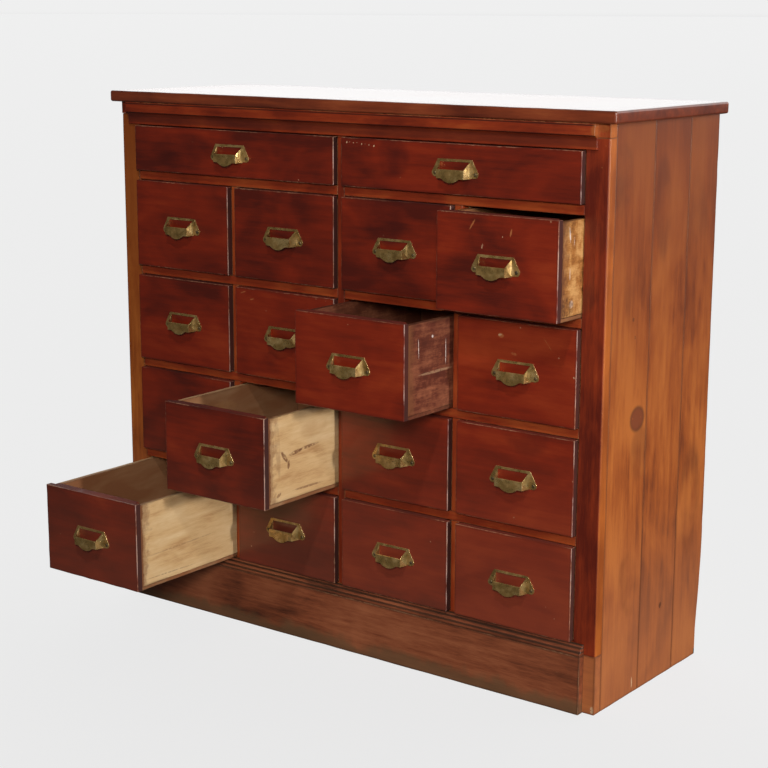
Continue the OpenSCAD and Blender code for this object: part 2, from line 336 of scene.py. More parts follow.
stainLook = {  # what all the stained woods share
    "footFrom": 0.05, "headFrom": 0.35, "headTo": 1.05,  # metres above the floor
    "groove": (0.6, 1.8), "grooveShare": 0.85,
    "rag": 4.0, "ragScale": 130, "patchScale": 9, "patches": (0.38, 0.6),
    "speckScale": 55, "specks": (0.04, 0.10), "speckPatchScale": 14, "speckPatches": (0.62, 0.68),
    "wornRough": 0.35, "cloudRough": 0.12, "dullRough": 0.4, "roughest": 0.9,
}
bumpDepth = 0.4 * mm


def stainedWood(name, look, marks=()):
    s = Shader(name)
    shared = stainLook
    place = s.place()
    across, up = s.parts(place)[::2]
    figure, clouds, lines, pores = woodFigure(s, look)
    colour = s.ramp(figure, look["stops"])
    dull = 0.0  # how dull the varnish is
    if "foot" in look:  # paler and greyer towards the floor: dust where feet and mops reach on the fronts, a painted sheen on the side boards
        foot = 1 - s.fade(up, shared["footFrom"], look["footReach"])
        colour = s.mix(foot * look["footShare"], colour, look["foot"])
    if "head" in look:  # darker towards the top
        head = s.fade(up, shared["headFrom"], shared["headTo"])
        colour = s.mix(head * look["headShare"], colour, look["head"])
    if "end" in look:
        colour, dull = frontEnds(s, colour, look)
    if "strip" in look:  # the stile's outer side, left paler than its front
        outer = s.fade(across, look["stripFrom"] * mm, look["stripTo"] * mm)
        colour = s.mix(outer, colour, s.ramp(figure, look["strip"]))
    for height in look.get("grooves", ()):  # painted shade in a moulding's inner corners, in mm above its foot
        away = s.maths("ABSOLUTE", s.parts(s.own("low", "Vector"))[2] - height * mm)
        cornerShade = nearEdge(s, away, shared["groove"]) * shared["grooveShare"]
        colour = s.mix(cornerShade, colour, look["grimeColour"])
    if "band" in look:
        colour = shadeAndDirtBand(s, colour, look)
    colour = markedWith(s, colour, place, marks)
    edge = edgeDistance(s)
    grime = nearEdge(s, edge, (0.0, look["grimeReach"]))
    colour = s.mix(grime * look["grime"], colour, look["grimeColour"])
    ragged = (s.cloud(place, shared["ragScale"], 3, 0.6) - 0.5) * (shared["rag"] * mm)
    worn = nearEdge(s, edge + ragged, (0.0, look["wear"])) * look["wornShare"]
    worn = worn * s.fade(s.cloud(place, shared["patchScale"], 2), *shared["patches"])
    colour = s.mix(worn, colour, look["bare"])
    specks = (1 - s.fade(s.cells(place, shared["speckScale"]), *shared["specks"])) * look["chips"]
    specks = specks * s.fade(s.cloud(place, shared["speckPatchScale"], 2), *shared["speckPatches"])
    colour = s.mix(specks, colour, look["bare"])
    height = lines * 0.5 + pores * 0.35 - worn * 0.8 - specks * 1.5 + clouds
    rough = worn * shared["wornRough"] + (clouds - 0.5) * shared["cloudRough"] + look["roughness"]
    return s.finish({
        "Base Color": colour,
        "Roughness": s.least(rough + dull * shared["dullRough"], shared["roughest"]),
        "Normal": s.bump(height, look["bump"], bumpDepth),
        "Coat Weight": (1 - dull) * look["coat"],
        "Coat Roughness": look["coatRoughness"],
        "Specular IOR Level": 0.4,
    })


mahoganyLook = {
    "stops": [(0.22, (0.090, 0.010, 0.005)), (0.5, (0.225, 0.0195, 0.0055)), (0.78, (0.345, 0.043, 0.010))],
    "cloudScale": 5.5, "cloudy": 1.0, "lineScale": 6, "lined": 0.4, "pored": 0.2, "toneSpread": 0.16,
    "foot": (0.210, 0.060, 0.034), "footReach": 0.55, "footShare": 0.5, "end": (0.030, 0.009, 0.007),
    # the colour of the painted highlight along each front's right arris
    "arris": (0.72, 0.52, 0.46),
    "bare": (0.50, 0.26, 0.15), "wear": 1.6, "wornShare": 0.6, "chips": 0.9,
    "grime": 0.35, "grimeReach": 5.0, "grimeColour": (0.035, 0.006, 0.005),
    "roughness": 0.36, "coat": 0.5, "coatRoughness": 0.16, "bump": 0.25,
}
frameLook = {
    "stops": [(0.22, (0.110, 0.011, 0.004)), (0.5, (0.270, 0.032, 0.007)), (0.8, (0.430, 0.085, 0.016))],
    "strip": [(0.22, (0.300, 0.066, 0.008)), (0.5, (0.500, 0.128, 0.017)), (0.8, (0.620, 0.215, 0.046))],
    "stripFrom": 567.8, "stripTo": 568.6,
    "cloudScale": 7.0, "cloudy": 0.9, "lineScale": 7, "lined": 0.5, "pored": 0.3, "toneSpread": 0.16,
    "bare": (0.42, 0.17, 0.06), "wear": 1.4, "wornShare": 0.6, "chips": 0.4,
    "grime": 0.5, "grimeReach": 2.5, "grimeColour": (0.040, 0.008, 0.005),
    "roughness": 0.42, "coat": 0.35, "coatRoughness": 0.2, "bump": 0.3,
}
# the cornice's band darkens its cove: painted shade
corniceLook = {**frameLook, "band": (0.055, 0.011, 0.006), "bandRag": 60, "bandRough": 2, "bandShare": 0.5,
               "bandFoot": (2, 6), "bandHead": (19, 24), "grime": 0.35, "grooves": (23.5, 41)}
honeyLook = {
    "stops": [(0.20, (0.150, 0.030, 0.006)), (0.48, (0.350, 0.082, 0.012)), (0.8, (0.500, 0.145, 0.024))],
    # paler towards the floor on the side boards: a painted sheen, the reflection of the pale floor
    "foot": (0.440, 0.160, 0.070), "footReach": 0.42, "footShare": 0.5,
    "head": (0.200, 0.038, 0.005), "headShare": 0.75,
    "cloudScale": 4.5, "cloudy": 1.5, "lineScale": 6.0, "lined": 0.9, "pored": 0.5, "toneSpread": 0.08,
    "bare": (0.45, 0.16, 0.04), "wear": 1.2, "wornShare": 0.25, "chips": 0.0,
    "grime": 0.6, "grimeReach": 5.0, "grimeColour": (0.085, 0.022, 0.007),
    "roughness": 0.45, "coat": 0.25, "coatRoughness": 0.25, "bump": 0.3,
}
plinthLook = {
    "stops": [(0.20, (0.075, 0.020, 0.009)), (0.5, (0.250, 0.066, 0.026)), (0.8, (0.380, 0.120, 0.050))],
    "band": (0.150, 0.085, 0.040), "bandRag": 18, "bandRough": 60, "bandShare": 0.7,
    "bandFoot": (-9, -8), "bandHead": (10, 34),
    "cloudScale": 5.0, "cloudy": 1.2, "lineScale": 8, "lined": 0.8, "pored": 0.5, "toneSpread": 0.05,
    "bare": (0.34, 0.18, 0.09), "wear": 1.6, "wornShare": 0.6, "chips": 0.3,
    "grime": 0.6, "grimeReach": 5.0, "grimeColour": (0.030, 0.014, 0.007),
    "roughness": 0.5, "coat": 0.2, "coatRoughness": 0.3, "bump": 0.35,
}
topLook = {
    "stops": [(0.20, (0.100, 0.018, 0.008)), (0.5, (0.230, 0.045, 0.015)), (0.8, (0.360, 0.090, 0.028))],
    "cloudScale": 4.0, "cloudy": 1.0, "lineScale": 5, "lined": 0.7, "pored": 0.3, "toneSpread": 0.1,
    "bare": (0.45, 0.20, 0.09), "wear": 2.0, "wornShare": 0.4, "chips": 0.0,
    "grime": 0.3, "grimeReach": 4.0, "grimeColour": (0.040, 0.010, 0.006),
    "roughness": 0.3, "coat": 0.8, "coatRoughness": 0.07, "bump": 0.08,
}
capLook = {**plinthLook, "bandShare": 0.0, "grooves": (7, 14, 19.5)}
rawLook = {
    "stops": [(0.20, (0.400, 0.200, 0.075)), (0.44, (0.620, 0.400, 0.190)), (0.8, (0.760, 0.570, 0.330))],
    "tan": [(0.22, (0.130, 0.040, 0.010)), (0.5, (0.400, 0.160, 0.038)), (0.8, (0.640, 0.340, 0.120))],
    "stained": [(0.25, (0.050, 0.011, 0.007)), (0.5, (0.115, 0.026, 0.013)), (0.75, (0.300, 0.100, 0.048))],
    "inside": (0.240, 0.095, 0.039),  # dust and handling have browned the insides, and they are also painted darker as the shade inside the drawers
    "mottle": 1.6, "mottleScale": 34, "patchScale": 11,
    "cloudScale": 16.0, "cloudy": 0.75, "cloudStretch": (0.45, 1.6, 1.6),
    "lineScale": 9.0, "lined": 0.4, "pored": 0.35, "toneSpread": 0.06,
    "grime": 0.5, "grimeReach": 5.0, "grimeColour": (0.160, 0.080, 0.038),
    "jointColour": (0.180, 0.064, 0.025),  # glue and stain along the joint with the front
    "roughness": 0.68, "bump": 0.45,
}


jointLook = {  # stain along the joint with the front: a wide soft band and a narrow dark one, in mm
    "ragScale": 60, "wide": (9, 23), "wideRag": 50, "wideShare": 0.55, "close": (3, 7), "closeRag": 18,
    "closeShare": 0.42,
}


def jointStain(s, look):
    fromFront = s.parts(s.own("low", "Vector"))[1]
    ragged = s.cloud(s.place(), look["ragScale"], 4, 0.6) - 0.5
    wide = nearEdge(s, fromFront + ragged * (look["wideRag"] * mm), look["wide"])
    close = nearEdge(s, fromFront + ragged * (look["closeRag"] * mm), look["close"])
    return (wide * look["wideShare"] + close * look["closeShare"]) * s.own("joint")


def rawWood(name, look, marks=()):
    s = Shader(name)
    place = s.place()
    figure, clouds, lines, pores = woodFigure(s, look)
    mottled = (s.cloud(place, look["mottleScale"], 5, 0.7) - 0.5) * look["mottle"] + figure
    half = s.fade(s.own("stain"), 0.0, 0.5)  # tan wood at a stain of a half, dark wood at one
    full = s.fade(s.own("stain"), 0.5, 1.0)
    colour = s.mix(half, s.ramp(figure, look["stops"]), s.ramp(mottled, look["tan"]))
    colour = s.mix(full, colour, s.ramp(mottled * 0.4 + figure * 0.6, look["stained"]))
    # the insides turned browner and darker: partly the wood's own browning, partly painted shade
    browningAndShade = s.own("inside") * (0.95 - (clouds - 0.5) * 0.6) * (1 - full * 0.85)
    colour = s.mix(browningAndShade, colour, look["inside"])
    patches = s.fade(s.cloud(place, look["patchScale"], 3), 0.35, 0.65)
    grime = nearEdge(s, edgeDistance(s), (0.0, look["grimeReach"])) * patches
    colour = s.mix(grime * look["grime"], colour, look["grimeColour"])
    colour = s.mix(jointStain(s, jointLook), colour, look["jointColour"])
    return s.finish({
        "Base Color": markedWith(s, colour, place, marks),
        "Roughness": look["roughness"],
        "Normal": s.bump(lines * 0.6 + pores * 0.5, look["bump"], bumpDepth),
        "Specular IOR Level": 0.25,
    })


brassLook = {
    "metal": [(0.32, (0.300, 0.180, 0.056)), (0.5, (0.500, 0.315, 0.105)), (0.68, (0.800, 0.560, 0.240))],
    "tarnish": (0.150, 0.075, 0.024), "tarnished": 0.5, "metallic": 0.75, "roughness": 0.28,
}
rimLook = {  # the edges, rubbed bright by hands
    "metal": [(0.32, (0.560, 0.400, 0.150)), (0.5, (0.760, 0.570, 0.240)), (0.68, (0.900, 0.740, 0.400))],
    "tarnish": (0.200, 0.130, 0.050), "tarnished": 0.35, "metallic": 0.85, "roughness": 0.26,
}
screwLook = {
    "metal": [(0.32, (0.075, 0.050, 0.022)), (0.5, (0.150, 0.105, 0.045)), (0.68, (0.260, 0.190, 0.085))],
    "tarnish": (0.035, 0.022, 0.012), "tarnished": 0.8, "metallic": 0.6, "roughness": 0.5,
}


def agedBrass(name, look):
    s = Shader(name)
    place = s.place()
    clouds = s.cloud(place, 60, 4, 0.6)
    fine = s.cloud(place, 420, 3, 0.6)
    colour = s.ramp(clouds * 0.85 + fine * 0.15, look["metal"])
    tarnish = s.fade(s.cloud(place, 65, 3, 0.5, 0.4), 0.42, 0.72)
    colour = s.mix(tarnish * look["tarnished"], colour, look["tarnish"])
    return s.finish({
        "Base Color": colour,
        "Metallic": look["metallic"] - tarnish * 0.3,
        "Roughness": tarnish * 0.25 + (fine - 0.5) * 0.15 + look["roughness"],
        "Normal": s.bump(clouds * 0.8 + fine * 0.2, 0.2, 0.3 * mm),
    })


pale, orange, scuff = (0.62, 0.40, 0.24), (0.45, 0.15, 0.05), (0.80, 0.72, 0.66)
redKnot, darkKnot = (0.230, 0.052, 0.014), (0.050, 0.014, 0.006)
crack, shade, deepRed = (0.150, 0.050, 0.022), (0.090, 0.018, 0.005), (0.045, 0.006, 0.005)
tanPatch, rubbedStain, dry = (0.45, 0.22, 0.08), (0.42, 0.13, 0.03), (0.45, 0.28, 0.16)
blotch = {"rag": 14, "whole": 0.7}  # large, with a soft edge
wideBlotch = {"rag": 9, "whole": 0.7}
frontMarks = [
    # scratches and bare spots above the pulls in column 4, from the top down
    mark("front", (350, 867), (1.8, 12), -32, 0.75, orange),
    mark("front", (429, 858), (2.0, 8), -12, 0.8, orange),
    mark("front", (371, 831), (2.2, 5), -10, 0.8, pale),
    mark("front", (412, 850), (1.2, 2), 0, 0.6, pale),
    mark("front", (368, 666), (7.0, 5), -10, 0.8, orange),
    mark("front", (366, 667), (4.0, 2), 12, 0.8, pale),
    mark("front", (396, 636), (7.0, 3), -10, 0.6, orange),
    mark("front", (465, 660), (1.0, 16), 40, 0.45, orange),
    mark("front", (519, 609), (2.4, 2), 0, 0.9, pale),
    # rubs along the top of the drawer in row 2, column 2
    mark("front", (-237, 683), (9.0, 1.6), 20, 0.7, orange),
    mark("front", (-214, 671), (6.0, 1.4), 12, 0.7, orange),
    # darker stain
    mark("front", (129, 965), (42, 42), 10, 0.55, deepRed, **blotch),
    mark("front", (-390, 950), (90, 45), 0, 0.45, deepRed, **blotch),
    mark("front", (110, 860), (80, 60), -20, 0.5, deepRed, **blotch),
    mark("front", (-200, 560), (60, 40), 15, 0.4, deepRed, **blotch),
    mark("front", (420, 500), (60, 50), -30, 0.4, deepRed, **blotch),
]
nicks = [2.6, 1.1, 1.5, 0.9, 2.0, 1.2, 1.4, 2.4]  # mm, along the top of the right-hand wide drawer
nickRow = {"left": 18, "top": 990, "step": 9, "fall": 0.6}
for i, size in enumerate(nicks):
    at = (nickRow["left"] + nickRow["step"] * i + 2 * size, nickRow["top"] - nickRow["fall"] * i - size)
    frontMarks.append(mark("front", at, (0.7 * size, size), -25, 0.85, pale, whole=0.42))
frameMarks = [mark("front", (554, 1030), (17, 15), 0, 0.6, rubbedStain, rag=60, whole=0.5)]
sideMarks = [
    # the large knot, dark round its edge, and three small ones
    mark("side", (-275, 519), (30, 27), 0, 0.85, darkKnot, whole=0.34),
    mark("side", (-275, 519), (26, 23), 0, 0.85, redKnot, whole=0.36),
    mark("side", (-162, 141), (6, 7), 0, 0.7, darkKnot, whole=0.4),
    mark("side", (-300, 700), (4, 5), 0, 0.6, darkKnot),
    mark("side", (-292, 668), (3, 4), 0, 0.6, darkKnot),
    # darker stain, from the top down
    mark("side", (-352, 945), (50, 70), 0, 0.55, shade, **wideBlotch),
    mark("side", (-205, 890), (34, 110), 3, 0.45, shade, **wideBlotch),
    mark("side", (-70, 830), (50, 130), 6, 0.35, shade, **wideBlotch),
    mark("side", (-300, 760), (40, 90), 0, 0.45, shade, **wideBlotch),
    mark("side", (-262, 455), (40, 60), 0, 0.35, shade, **wideBlotch),
    mark("side", (-60, 330), (45, 130), 0, 0.55, shade, **wideBlotch),
    mark("side", (-287, 215), (40, 70), 12, 0.5, shade, **wideBlotch),
    # bare spots near the floor, and a dark foot on the left stile
    mark("side", (-262, 20), (2.5, 12), 0, 0.9, pale, whole=0.4),
    mark("front", (566, 9), (4, 8), 0, 0.9, pale, whole=0.4),
    mark("front", (-548, 60), (14, 60), 0, 0.5, darkKnot, rag=30),
]
boxMarks = [
    # row 3, column 2: a crack in two arms, two lines below it and browned patches
    mark("side", (-556, 415), (5.0, 17), 38, 0.85, crack),
    mark("side", (-544, 398), (4.0, 10), -8, 0.8, crack),
    mark("side", (-524, 418), (22, 4.5), 6, 0.85, crack),
    mark("side", (-486, 422), (34, 3.6), 3, 0.75, crack),
    mark("side", (-572, 345), (8, 4.0), 30, 0.6, crack),
    mark("side", (-486, 345), (52, 2.6), -1, 0.6, crack),
    mark("side", (-575, 440), (8, 70), 4, 0.35, crack, rag=40, whole=0.7),
    mark("side", (-470, 455), (50, 20), 4, 0.35, tanPatch, rag=20, whole=0.7),
    # row 2, column 3: scuffs
    mark("side", (-502, 642), (1.3, 20), 2, 0.8, scuff),
    mark("side", (-419, 626), (1.3, 26), 0, 0.8, scuff),
    mark("side", (-460, 659), (3.0, 3), 0, 0.8, scuff),
    mark("side", (-450, 594), (60, 3), 0, 0.6, dry),
    # row 1, column 4: scuffs, and dirt at the top, the bottom and along the front
    mark("side", (-440, 858), (2.4, 16), 8, 0.7, scuff),
    mark("side", (-426, 846), (1.6, 9), -4, 0.5, scuff),
    mark("side", (-438, 792), (1.6, 12), 0, 0.5, scuff),
    mark("side", (-432, 740), (8, 8), 0, 0.35, scuff, rag=90),
    mark("side", (-446, 736), (26, 20), 0, 0.75, darkKnot, rag=210, whole=0.7),
    mark("side", (-452, 872), (30, 16), 0, 0.55, darkKnot, rag=120, whole=0.7),
    mark("side", (-466, 800), (5, 90), 0, 0.75, darkKnot, rag=60),
    # row 4, column 1: faint lines along the grain
    mark("side", (-590, 148), (80, 1.6), -1, 0.4, crack),
    mark("side", (-560, 196), (110, 2.0), 1, 0.3, crack),
]
finishes = {
    "mahogany_front": stainedWood("mahoganyFront", mahoganyLook, frontMarks),
    "frame_stain": stainedWood("frameStain", frameLook, frameMarks),
    "honey_pine": stainedWood("honeyPine", honeyLook, sideMarks),
    "plinth_wood": stainedWood("plinthWood", plinthLook),
    "gloss_top": stainedWood("glossTop", topLook),
    "raw_pine": rawWood("rawPine", rawLook, boxMarks),
    "aged_brass": agedBrass("agedBrass", brassLook),
}
corniceStain = stainedWood("corniceStain", corniceLook, frameMarks)
capStain = stainedWood("capStain", capLook)
brassRim = agedBrass("brassRim", rimLook)
darkScrew = agedBrass("darkScrew", screwLook)
print("finishes made:", len(finishes))

mergeReach = 1e-6  # metres


def mergedCad(node):
    # a CAD node's mesh with its faces joined up
    bm = bmesh.new()
    bm.from_mesh(frame["nodes"][node].data)
    bmesh.ops.remove_doubles(bm, verts=bm.verts[:], dist=mergeReach)
    return bm


def groupsOf(items, touching):
    # the connected groups among some faces or corners, in the order of each group's first one
    left = set(items)
    groups = []
    for first in items:
        if first not in left:
            continue
        left.remove(first)
        front, found = [first], {first}
        while front:
            near = touching(front.pop()) & left
            found |= near
            left -= near
            front += near
        groups.append(found)
    return groups


def boxOf(bits):
    points = [bit.co for bit in bits]
    return [Vector([pick(p[i] for p in points) for i in range(3)]) for pick in (min, max)]


def boxesOf(node):
    # the boxes round the separate solids of a CAD node
    bm = mergedCad(node)
    solids = groupsOf(bm.verts[:], lambda vert: {edge.other_vert(vert) for edge in vert.link_edges})
    boxes = sorted((boxOf(solid) for solid in solids), key=lambda box: box[0][:])
    bm.free()
    return boxes


def alongAxis(axis):
    return Vector([float(i == axis) for i in range(3)])


def cuboid(lo, hi):
    bm = bmesh.new()
    bmesh.ops.create_cube(bm, size=1)
    bmesh.ops.scale(bm, vec=hi - lo, verts=bm.verts[:])
    bmesh.ops.translate(bm, vec=(lo + hi) / 2, verts=bm.verts[:])
    return bm


def cutAcross(bm, lo, hi, step, axes=(0, 1, 2)):
    # edges across the board at every step, so that its arrises can wear unevenly
    for axis in axes:
        count = int((hi[axis] - lo[axis]) / step)
        normal = alongAxis(axis)
        for i in range(1, count):
            spot = lo + normal * ((hi[axis] - lo[axis]) * i / count)
            everything = bm.verts[:] + bm.edges[:] + bm.faces[:]
            bmesh.ops.bisect_plane(bm, geom=everything, plane_co=spot, plane_no=normal)


rubLook = {"reach": 1.5, "least": 0.3, "uneven": 1.4, "patches": 28}  # reach in times the arris's own easing


def wearArrises(bm, lo, hi, look):
    # pulls the arrises in towards the board a little, more in some places than in others
    reach = rubLook["reach"] * look["ease"] * mm
    for vert in bm.verts:
        gaps = [min(vert.co[i] - lo[i], hi[i] - vert.co[i]) for i in range(3)]
        if sorted(gaps)[1] < reach:
            patch = noise.noise(vert.co * rubLook["patches"])
            pull = look["rag"] * mm * max(0.0, rubLook["least"] + rubLook["uneven"] * patch)
            for i in range(3):
                if gaps[i] < reach:
                    vert.co[i] += pull if vert.co[i] - lo[i] < hi[i] - vert.co[i] else -pull


grainOrders = {"x": (0, 2, 1), "y": (1, 2, 0), "z": (2, 0, 1)}
vectorLabels = ("grain", "low", "high")
valueLabels = ("tone", "stain", "inside", "joint")


def addLabels(bm):
    vectors = [bm.verts.layers.float_vector.new(name) for name in vectorLabels]
    return vectors + [bm.verts.layers.float.new(name) for name in valueLabels]


def labelWood(bm, along, tone=None, stain=0.0, inner="", joint=0.0):
    # what the wood finishes read: the way of the grain, how far each side of the board is, its tint,
    # which side of it faces into the drawer, and whether it meets a front
    grain, low, high, toneLayer, stainLayer, insideLayer, jointLayer = addLabels(bm)
    lo, hi = boxOf(bm.verts)
    middle = (lo.x + hi.x) / 2
    shift = Vector([chance.uniform(0, 9) for i in range(3)])
    own = chance.uniform(-1, 1)
    for vert in bm.verts:
        vert[grain] = Vector([vert.co[i] for i in grainOrders[along]]) + shift
        vert[low] = vert.co - lo
        vert[high] = hi - vert.co
        vert[toneLayer] = own if tone is None else tone
        vert[stainLayer] = stain
        vert[jointLayer] = joint
        facing = {"left": vert.co.x < middle, "right": vert.co.x > middle, "all": True, "": False}
        vert[insideLayer] = float(facing[inner])


def bevelled(bm, edges, offset, segments=2):
    made = bmesh.ops.bevel(bm, geom=edges, offset=offset, offset_type="OFFSET", segments=segments,
                           profile=0.5, affect="EDGES", material=-1, clamp_overlap=True)
    return made["faces"]


def sharpEdges(bm, turn):  # degrees
    return [e for e in bm.edges if e.is_convex and e.calc_face_angle(0) > math.radians(turn)]


def pullOut(bm, faces, way):
    # extrudes the faces and moves the new ones
    made = bmesh.ops.extrude_face_region(bm, geom=faces)["geom"]
    bmesh.ops.translate(bm, vec=way, verts=[v for v in made if isinstance(v, bmesh.types.BMVert)])


def breakCorner(bm, lo, hi, look):
    # the lower back corner, worn and broken away towards the floor
    for vert in bm.verts:
        if vert.co.y > hi.y - look["edge"] * mm:
            share = max(0.0, 1 - (vert.co.z - lo.z) / (look["high"] * mm)) ** look["curve"]
            ragged = noise.noise(Vector((0, 0, vert.co.z * look["rough"])))
            vert.co.y -= look["deep"] * mm * share * (1 + look["uneven"] * ragged)


def board(box, along, look, **label):
    # one sawn board with eased and worn arrises
    lo, hi = box
    bm = cuboid(lo, hi)
    if "corner" in look:  # the stiles' outer front arris
        outer = lo.x if look["corner"] < 0 else hi.x
        upright = [e for e in bm.edges
                   if all(abs(v.co.y - lo.y) < mm and abs(v.co.x - outer) < mm for v in e.verts)]
        bevelled(bm, upright, look["chamfer"] * mm, 1)
    bevelled(bm, bm.edges[:], look["ease"] * mm, look.get("segments", 2))
    cutAcross(bm, lo, hi, look["step"] * mm)
    wearArrises(bm, lo, hi, look)
    if "broken" in look and hi.y > -mm:  # only the board that reaches the back
        breakCorner(bm, lo, hi, look["broken"])
    labelWood(bm, along, **label)
    return bm


def makePiece(name, parts, slot, node):
    # joins the parts to one mesh, which then stands for the CAD node
    whole = bmesh.new()
    if slot != "aged_brass":
        addLabels(whole)
    scratch = bpy.data.meshes.new("scratch")
    for part in parts:
        part.to_mesh(scratch)
        whole.from_mesh(scratch)
        part.free()
    bpy.data.meshes.remove(scratch)
    mesh = bpy.data.meshes.new(name)
    for face in whole.faces:
        face.smooth = True
    whole.to_mesh(mesh)
    whole.free()
    mesh.materials.append(finishes[slot])
    piece = bpy.data.objects.new(name, mesh)
    bpy.context.scene.collection.objects.link(piece)
    even = piece.modifiers.new("even", "WEIGHTED_NORMAL")
    even.keep_sharp = True
    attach(piece, bodyOf[node])
    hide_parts(node)
    return piece


easedLook = {"ease": 0.8, "step": 30.0, "rag": 0.3}
innerLook = {"ease": 0.6, "step": 80.0, "rag": 0.3}
topBoardLook = {"ease": 4.0, "step": 30.0, "rag": 0.4, "segments": 4}
stileLooks = {
    "stile_left": {"ease": 0.8, "step": 30.0, "rag": 0.4, "corner": -1, "chamfer": 2.5},
    "stile_right": {"ease": 0.8, "step": 30.0, "rag": 0.4, "corner": 1, "chamfer": 2.5},
}
brokenLook = {
    **easedLook, "step": 13.0,
    "broken": {"edge": 2, "high": 230, "deep": 20, "curve": 1.6, "rough": 24, "uneven": 0.4},
}
caseBoards = {  # node: finish, way of the grain, look
    "top_board": ("gloss_top", "x", topBoardLook),
    "frieze_rail": ("frame_stain", "x", easedLook),
    "head_rail": ("frame_stain", "x", easedLook),
    "sill_rail": ("frame_stain", "x", easedLook),
    "base_rail": ("honey_pine", "x", easedLook),
    "plinth_board": ("plinth_wood", "x", easedLook),
    "stile_left": ("honey_pine", "z", stileLooks["stile_left"]),
    "stile_right": ("frame_stain", "z", stileLooks["stile_right"]),
    "centre_muntin": ("frame_stain", "z", easedLook),
    "short_muntins": ("frame_stain", "z", easedLook),
    "drawer_rails": ("frame_stain", "x", easedLook),
    "side_boards_left": ("honey_pine", "z", easedLook),
    "side_boards_right": ("honey_pine", "z", brokenLook),
    "back_boards": ("raw_pine", "z", easedLook),
    "bottom_board": ("raw_pine", "x", innerLook),
    "centre_partition": ("raw_pine", "y", innerLook),
    "partition_left": ("raw_pine", "y", innerLook),
    "partition_right": ("raw_pine", "y", innerLook),
    "drawer_runners": ("raw_pine", "y", innerLook),
    "side_guides": ("raw_pine", "y", innerLook),
    "drawer_stops": ("raw_pine", "x", innerLook),
    "top_cleats": ("raw_pine", "y", innerLook),
}
boardTones = {  # boards darker or lighter than chance makes them
    "stile_right": -1.1, "frieze_rail": -0.6, "top_board": -1.0, "short_muntins": 0.7, "drawer_rails": 0.1,
}
for node, (slot, along, look) in caseBoards.items():
    boards = [board(box, along, look, tone=boardTones.get(node)) for box in boxesOf(node)]
    makePiece(node + "_wood", boards, slot, node)
print("case boards made:", len(caseBoards))

arrisTurn = 40  # degrees, the least turn that counts as an arris on the woodwork
mouldingStep = 30.0  # mm


def moulding(box, outline, look):
    # a strip with that outline, drawn outwards and upwards from its back foot, in mm
    lo, hi = box
    bm = bmesh.new()
    verts = [bm.verts.new((lo.x, hi.y - out * mm, lo.z + up * mm)) for out, up in outline]
    pullOut(bm, [bm.faces.new(verts)], (hi.x - lo.x, 0, 0))
    bmesh.ops.recalc_face_normals(bm, faces=bm.faces[:])
    bevelled(bm, sharpEdges(bm, arrisTurn), look["ease"] * mm, look["segments"])
    cutAcross(bm, lo, hi, mouldingStep * mm, axes=(0,))
    labelWood(bm, "x", look["tone"])
    return bm


corniceShape = {
    "fascia": 20.5, "projection": 13.0, "cove": 8.0, "bead": 5.0, "height": 44.0,
    "ease": 0.9, "segments": 2, "tone": -0.45,
}


def corniceOutline(look):
    out, radius = look["projection"], look["cove"]
    foot = look["height"] - look["fascia"] - radius
    turns = [math.radians(180 - a) for a in range(0, 81, 10)]
    cove = [(out + radius * math.cos(t), foot + radius * math.sin(t)) for t in turns]
    head = [(out, look["height"] - look["fascia"]), (out, look["height"])]
    return [(0, 0), (look["bead"], 0)] + cove + head + [(0, look["height"])]


strip = moulding(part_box("cornice"), corniceOutline(corniceShape), corniceShape)
cornice = makePiece("cornice_moulding", [strip], "frame_stain", "cornice")
cornice.data.materials[0] = corniceStain

# the steps' projections and heights from below, in mm
capShape = {"steps": [(16, 7), (11, 7), (6, 6)], "ease": 1.6, "segments": 3, "tone": None}


def capOutline(look):
    outline, foot = [(0, 0)], 0
    for out, height in look["steps"]:
        outline += [(out, foot), (out, foot + height)]
        foot += height
    return outline + [(0, foot)]


strip = moulding(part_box("plinth_cap"), capOutline(capShape), capShape)
cap = makePiece("plinth_cap_moulding", [strip], "plinth_wood", "plinth_cap")
cap.data.materials[0] = capStain
print("mouldings made")

frontLook = {"ease": 1.1, "step": 18.0, "rag": 0.45}
boxLook = {"ease": 0.7, "step": 40.0, "rag": 0.4}
stains = {"row1_col4": 0.5, "row2_col3": 1.0}  # drawers that the stain was wiped over
tones = {  # fronts that are darker or lighter than the rest
    "wide_left": -1.0, "wide_right": -0.7, "row1_col1": -0.6, "row1_col2": -0.9, "row1_col3": -1.1,
    "row1_col4": -0.4, "row2_col1": -0.5, "row2_col2": -0.2, "row2_col3": -0.2, "row2_col4": 0.5,
    "row3_col1": -0.9, "row3_col2": -1.0, "row3_col3": -0.5, "row3_col4": 0.2,
    "row4_col1": -0.5, "row4_col2": -0.9, "row4_col3": -0.5, "row4_col4": 0.4,
}


